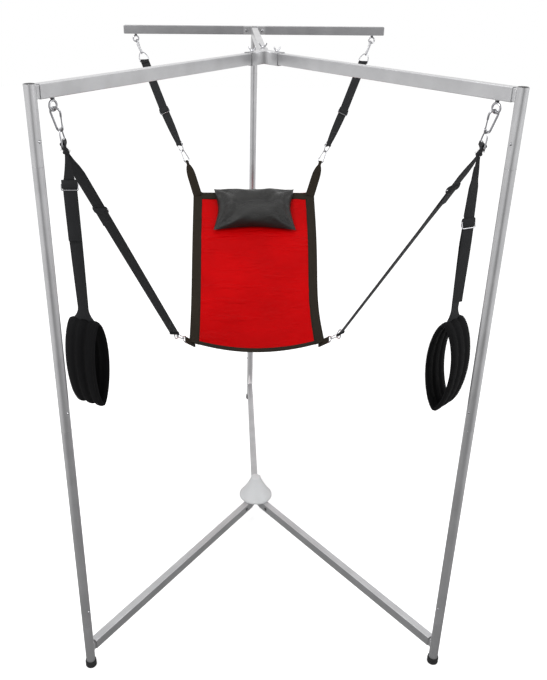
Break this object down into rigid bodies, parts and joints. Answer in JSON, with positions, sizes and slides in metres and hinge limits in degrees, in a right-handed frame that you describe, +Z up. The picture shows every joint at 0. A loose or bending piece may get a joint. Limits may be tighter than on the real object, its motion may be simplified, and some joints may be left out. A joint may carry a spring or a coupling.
{
  "type": "tripod sling stand",
  "caption": "Free-standing tubular tripod frame with a rear crossbar, carrying a hung fabric seat on webbing straps, a head pillow and padded leg loops.",
  "frame": {"origin": "on the floor under the middle of the whole stand's footprint", "axes": "+Z up, -Y the open front between the two front legs, +X to the right as seen from the front"},
  "size_m": [1.358, 2.0966, 2.1594],
  "materials": {
    "steel": "silver-grey powder coat, satin",
    "zinc": "bright zinc plate",
    "cover": "pale grey moulded plastic",
    "rubber": "matt black",
    "webbing": "dark woven webbing",
    "seat": "red coated nylon with a dark webbing border",
    "pillow": "black, slightly glossy",
    "pad": "black padded fabric"
  },
  "bodies": {
    "frame": {"top_hub": "steel", "bottom_hub": "steel", "top_rail_left": "steel", "bottom_rail_left": "steel", "leg_head_left": "steel", "leg_upper_left": "steel", "leg_lower_left": "steel", "leg_base_left": "steel", "top_rail_right": "steel", "bottom_rail_right": "steel", "leg_head_right": "steel", "leg_upper_right": "steel", "leg_lower_right": "steel", "leg_base_right": "steel", "top_rail_rear": "steel", "bottom_rail_rear": "steel", "leg_head_rear": "steel", "leg_upper_rear": "steel", "leg_lower_rear": "steel", "leg_base_rear": "steel", "crossbar_left": "steel", "crossbar_right": "steel", "hub_cover": "cover", "foot_left": "rubber", "foot_right": "rubber", "foot_rear": "rubber", "eye_bolt_front_left": "zinc", "eye_bolt_front_right": "zinc", "eye_bolt_rear_left": "zinc", "eye_bolt_rear_right": "zinc"},
    "head_straps": {"snap_hook_rear_left": "zinc", "snap_hook_rear_right": "zinc", "snap_hook_seat_top_left": "zinc", "snap_hook_seat_top_right": "zinc", "head_strap_left": "webbing", "head_strap_right": "webbing"},
    "seat": {"seat": "seat", "pillow": "pillow", "snap_hook_seat_corner_left": "zinc", "snap_hook_seat_corner_right": "zinc"},
    "front_straps": {"snap_hook_front_left": "zinc", "snap_hook_front_right": "zinc", "front_strap_left": "webbing", "front_strap_right": "webbing"},
    "stirrup_left": {"stirrup_left": "pad"},
    "gate_left": {"hook_gate_front_left": "zinc"},
    "stirrup_right": {"stirrup_right": "pad"},
    "gate_right": {"hook_gate_front_right": "zinc"},
    "wing_screw_left": {"wing_screw_left": "zinc"},
    "wing_screw_right": {"wing_screw_right": "zinc"},
    "wing_screw_rear": {"wing_screw_rear": "zinc"},
    "button_low_left": {"button_low_left": "zinc"},
    "button_low_right": {"button_low_right": "zinc"},
    "button_low_rear": {"button_low_rear": "zinc"},
    "button_middle_left": {"button_middle_left": "zinc"},
    "button_middle_right": {"button_middle_right": "zinc"},
    "button_middle_rear": {"button_middle_rear": "zinc"},
    "button_high_left": {"button_high_left": "zinc"},
    "button_high_right": {"button_high_right": "zinc"},
    "button_high_rear": {"button_high_rear": "zinc"}
  },
  "joints": [
    {"name": "head_strap_swing", "type": "hinge", "parent": "frame", "child": "head_straps", "pos_m": [0, 1.03029, 2.06769], "axis": [1, 0, 0], "range_deg": [-4, 4]},
    {"name": "seat_swing", "type": "hinge", "parent": "head_straps", "child": "seat", "pos_m": [0, 0.81088, 1.507], "axis": [1, 0, 0], "range_deg": [-6.2, 6.2]},
    {"name": "front_strap_swing", "type": "hinge", "parent": "frame", "child": "front_straps", "pos_m": [0, -0.96338, 2.0627], "axis": [1, 0, 0], "range_deg": [-1, 1]},
    {"name": "stirrup_swing_left", "type": "hinge", "parent": "front_straps", "child": "stirrup_left", "pos_m": [-0.6, -0.91645, 1.935], "axis": [1, 0, 0], "range_deg": [-2, 20]},
    {"name": "gate_open_left", "type": "hinge", "parent": "front_straps", "child": "gate_left", "pos_m": [-0.59821, -0.94804, 2.01564], "axis": [-0.1944, -0.9148, -0.354], "range_deg": [0, 30], "stiffness_Nm_per_rad": 0.3, "springref_deg": -8.59},
    {"name": "stirrup_swing_right", "type": "hinge", "parent": "front_straps", "child": "stirrup_right", "pos_m": [0.6, -0.91645, 1.935], "axis": [1, 0, 0], "range_deg": [-2, 20]},
    {"name": "gate_open_right", "type": "hinge", "parent": "front_straps", "child": "gate_right", "pos_m": [0.59821, -0.94804, 2.01564], "axis": [-0.1944, 0.9148, 0.354], "range_deg": [0, 30], "stiffness_Nm_per_rad": 0.3, "springref_deg": -8.59},
    {"name": "button_low_left_press", "type": "slide", "parent": "frame", "child": "button_low_left", "axis": [-0.809, 0.5878, 0], "range_m": [0, 0.0055], "stiffness_N_per_m": 800},
    {"name": "button_low_right_press", "type": "slide", "parent": "frame", "child": "button_low_right", "axis": [0.809, 0.5878, 0], "range_m": [0, 0.0055], "stiffness_N_per_m": 800},
    {"name": "button_low_rear_press", "type": "slide", "parent": "frame", "child": "button_low_rear", "axis": [1, 0, 0], "range_m": [0, 0.0055], "stiffness_N_per_m": 800},
    {"name": "button_middle_left_press", "type": "slide", "parent": "frame", "child": "button_middle_left", "axis": [-0.809, 0.5878, 0], "range_m": [0, 0.0055], "stiffness_N_per_m": 800},
    {"name": "button_middle_right_press", "type": "slide", "parent": "frame", "child": "button_middle_right", "axis": [0.809, 0.5878, 0], "range_m": [0, 0.0055], "stiffness_N_per_m": 800},
    {"name": "button_middle_rear_press", "type": "slide", "parent": "frame", "child": "button_middle_rear", "axis": [1, 0, 0], "range_m": [0, 0.0055], "stiffness_N_per_m": 800},
    {"name": "button_high_left_press", "type": "slide", "parent": "frame", "child": "button_high_left", "axis": [-0.809, 0.5878, 0], "range_m": [0, 0.0055], "stiffness_N_per_m": 800},
    {"name": "button_high_right_press", "type": "slide", "parent": "frame", "child": "button_high_right", "axis": [0.809, 0.5878, 0], "range_m": [0, 0.0055], "stiffness_N_per_m": 800},
    {"name": "button_high_rear_press", "type": "slide", "parent": "frame", "child": "button_high_rear", "axis": [1, 0, 0], "range_m": [0, 0.0055], "stiffness_N_per_m": 800},
    {"name": "wing_screw_left_turn", "type": "hinge", "parent": "frame", "child": "wing_screw_left", "pos_m": [-0.04585, -0.18455, 2.1414], "axis": [0, 0, 1], "continuous": true},
    {"name": "wing_screw_right_turn", "type": "hinge", "parent": "frame", "child": "wing_screw_right", "pos_m": [0.04585, -0.18455, 2.1414], "axis": [0, 0, 1], "continuous": true},
    {"name": "wing_screw_rear_turn", "type": "hinge", "parent": "frame", "child": "wing_screw_rear", "pos_m": [0, -0.04345, 2.1414], "axis": [0, 0, 1], "continuous": true}
  ],
  "couplings": [
    {"joint": "seat_swing", "follows": "head_strap_swing", "ratio": -1.5179},
    {"joint": "front_strap_swing", "follows": "head_strap_swing", "ratio": 0.22406}
  ]
}
